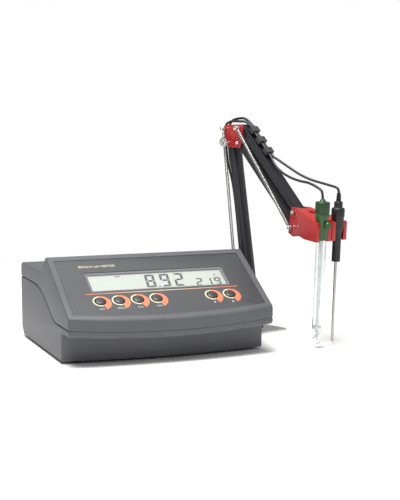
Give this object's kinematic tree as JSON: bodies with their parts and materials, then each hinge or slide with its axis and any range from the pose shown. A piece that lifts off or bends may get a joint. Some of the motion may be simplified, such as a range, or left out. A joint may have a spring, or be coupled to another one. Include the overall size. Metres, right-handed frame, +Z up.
{
  "type": "bench ph meter",
  "caption": "Bench pH meter with a wedge-shaped case, sloping display and round keys, and a jointed arm holding a glass electrode and a temperature probe.",
  "frame": {"origin": "on the table, under the middle of the bounding box of the instrument and its arm without the leads", "axes": "+X to the right along the front panel, +Y to the rear, +Z up"},
  "size_m": [0.3348, 0.2948, 0.2619],
  "materials": {
    "housing": "fine-textured dark grey moulded plastic",
    "housing_lower": "fine-textured dark grey moulded plastic",
    "panel": "satin printed polyester overlay",
    "lens": "clear acrylic window",
    "display": "reflective liquid crystal display",
    "board": "green circuit board",
    "key": "satin dark grey key",
    "rubber": "black rubber",
    "steel": "brushed stainless steel",
    "nickel": "nickel-plated brass",
    "red_plastic": "semi-gloss red moulded plastic",
    "bar": "black anodised aluminium",
    "green_plastic": "semi-gloss green moulded plastic",
    "black_plastic": "semi-gloss black moulded plastic",
    "electrode_glass": "clear borosilicate glass",
    "lead": "black flexible cable sheath"
  },
  "bodies": {
    "meter": {"upper_case": "housing", "lower_case": "housing_lower", "panel_overlay": "panel", "lcd_window": "lens", "lcd_module": "display", "main_board": "board", "foot_1": "rubber", "foot_2": "rubber", "foot_3": "rubber", "foot_4": "rubber", "case_screw_1": "steel", "case_screw_2": "steel", "electrode_socket": "nickel", "probe_socket": "nickel", "power_inlet": "black_plastic", "electrode_plug": "black_plastic", "probe_plug": "black_plastic", "base_plate": "steel", "plate_screw_1": "steel", "plate_screw_2": "steel", "swivel_pin": "steel", "lead_coil": "lead", "electrode_tail": "lead", "probe_tail": "lead", "electrode_lead": "lead", "probe_lead": "lead"},
    "yoke": {"base_yoke": "black_plastic", "base_rear_pin": "steel", "base_front_pin": "steel"},
    "lower_bar": {"lower_bar": "bar", "lower_spring_left": "steel", "lower_spring_right": "steel"},
    "tie_rod": {"tie_rod": "bar"},
    "elbow": {"elbow_block": "red_plastic", "elbow_front_pin": "steel", "elbow_top_pin": "steel", "elbow_rear_pin": "steel"},
    "clamp_screw": {"clamp_screw": "nickel"},
    "clamp_knob": {"clamp_knob": "nickel"},
    "top_bar": {"upper_top_bar": "bar", "cable_clip_1": "black_plastic", "cable_clip_2": "black_plastic", "cable_clip_3": "black_plastic", "upper_spring_left": "steel", "upper_spring_right": "steel"},
    "bottom_bar": {"upper_bottom_bar": "bar"},
    "holder": {"electrode_holder": "red_plastic", "holder_low_pin": "steel", "holder_high_pin": "steel"},
    "electrode": {"electrode_cap": "green_plastic", "electrode_glass": "electrode_glass"},
    "fill_plug": {"fill_plug": "green_plastic"},
    "probe": {"probe_handle": "black_plastic", "probe_rod": "steel"},
    "key_power": {"key_power": "key"},
    "key_mode": {"key_mode": "key"},
    "key_calibrate": {"key_calibrate": "key"},
    "key_confirm": {"key_confirm": "key"},
    "key_down": {"key_down": "key"},
    "key_up": {"key_up": "key"}
  },
  "joints": [
    {"name": "arm_swivel", "type": "hinge", "parent": "meter", "child": "yoke", "pos_m": [0.0981, 0.02565, 0], "axis": [0, 0, 1], "range_deg": [-20, 90], "deforming": ["electrode_lead", "probe_lead"]},
    {"name": "lower_arm", "type": "hinge", "parent": "yoke", "child": "lower_bar", "pos_m": [0.09879, 0.02377, 0.05], "axis": [0.9397, 0.342, 0], "range_deg": [-5, 20], "deforming": ["lower_spring_left", "lower_spring_right", "electrode_lead", "probe_lead"]},
    {"name": "tie_rod_turn", "type": "hinge", "parent": "yoke", "child": "tie_rod", "pos_m": [0.10118, 0.01719, 0.0495], "axis": [0.9397, 0.342, 0], "range_deg": [-5, 20], "deforming": ["lower_spring_left", "lower_spring_right", "electrode_lead", "probe_lead"]},
    {"name": "elbow_level", "type": "hinge", "parent": "lower_bar", "child": "elbow", "pos_m": [0.08835, 0.05243, 0.2315], "axis": [0.9397, 0.342, 0], "range_deg": [-20, 5], "deforming": ["lower_spring_left", "lower_spring_right", "upper_spring_left", "upper_spring_right", "electrode_lead", "probe_lead"]},
    {"name": "upper_arm", "type": "hinge", "parent": "elbow", "child": "top_bar", "pos_m": [0.09448, 0.03561, 0.249], "axis": [0.9397, 0.342, 0], "range_deg": [-45, 0], "deforming": ["upper_spring_left", "upper_spring_right", "electrode_lead", "probe_lead"]},
    {"name": "bottom_bar_turn", "type": "hinge", "parent": "elbow", "child": "bottom_bar", "pos_m": [0.09331, 0.03881, 0.231], "axis": [0.9397, 0.342, 0], "range_deg": [-45, 0], "deforming": ["upper_spring_left", "upper_spring_right", "electrode_lead", "probe_lead"]},
    {"name": "holder_level", "type": "hinge", "parent": "top_bar", "child": "holder", "pos_m": [0.12628, -0.05178, 0.153], "axis": [0.9397, 0.342, 0], "range_deg": [0, 45], "deforming": ["upper_spring_left", "upper_spring_right", "electrode_lead", "probe_lead"]},
    {"name": "clamp_screw_turn", "type": "hinge", "parent": "elbow", "child": "clamp_screw", "pos_m": [0.08835, 0.05243, 0.2315], "axis": [0.9397, 0.342, 0], "range_deg": [-90, 90], "deforming": ["lower_spring_left", "lower_spring_right"]},
    {"name": "clamp_knob_turn", "type": "hinge", "parent": "elbow", "child": "clamp_knob", "pos_m": [0.08835, 0.05243, 0.2315], "axis": [0.9397, 0.342, 0], "range_deg": [-90, 90], "deforming": ["lower_spring_left", "lower_spring_right"]},
    {"name": "electrode_lift", "type": "slide", "parent": "holder", "child": "electrode", "axis": [0.0155, -0.0426, 0.999], "range_m": [0, 0.02], "deforming": ["electrode_lead", "probe_lead"]},
    {"name": "fill_plug_pull", "type": "slide", "parent": "electrode", "child": "fill_plug", "axis": [0.3417, -0.9387, -0.0454], "range_m": [0, 0.004]},
    {"name": "probe_lift", "type": "slide", "parent": "holder", "child": "probe", "axis": [0.0155, -0.0426, 0.999], "range_m": [0, 0.02], "deforming": ["electrode_lead", "probe_lead"]},
    {"name": "key_power_press", "type": "slide", "parent": "meter", "child": "key_power", "axis": [0, 0.5038, -0.8638], "range_m": [0, 0.0012], "stiffness_N_per_m": 400},
    {"name": "key_mode_press", "type": "slide", "parent": "meter", "child": "key_mode", "axis": [0, 0.5038, -0.8638], "range_m": [0, 0.0012], "stiffness_N_per_m": 400},
    {"name": "key_calibrate_press", "type": "slide", "parent": "meter", "child": "key_calibrate", "axis": [0, 0.5038, -0.8638], "range_m": [0, 0.0012], "stiffness_N_per_m": 400},
    {"name": "key_confirm_press", "type": "slide", "parent": "meter", "child": "key_confirm", "axis": [0, 0.5038, -0.8638], "range_m": [0, 0.0012], "stiffness_N_per_m": 400},
    {"name": "key_down_press", "type": "slide", "parent": "meter", "child": "key_down", "axis": [0, 0.5038, -0.8638], "range_m": [0, 0.0012], "stiffness_N_per_m": 400},
    {"name": "key_up_press", "type": "slide", "parent": "meter", "child": "key_up", "axis": [0, 0.5038, -0.8638], "range_m": [0, 0.0012], "stiffness_N_per_m": 400}
  ],
  "couplings": [
    {"joint": "tie_rod_turn", "follows": "lower_arm", "ratio": 1},
    {"joint": "elbow_level", "follows": "lower_arm", "ratio": -1},
    {"joint": "bottom_bar_turn", "follows": "upper_arm", "ratio": 1},
    {"joint": "holder_level", "follows": "upper_arm", "ratio": -1}
  ]
}
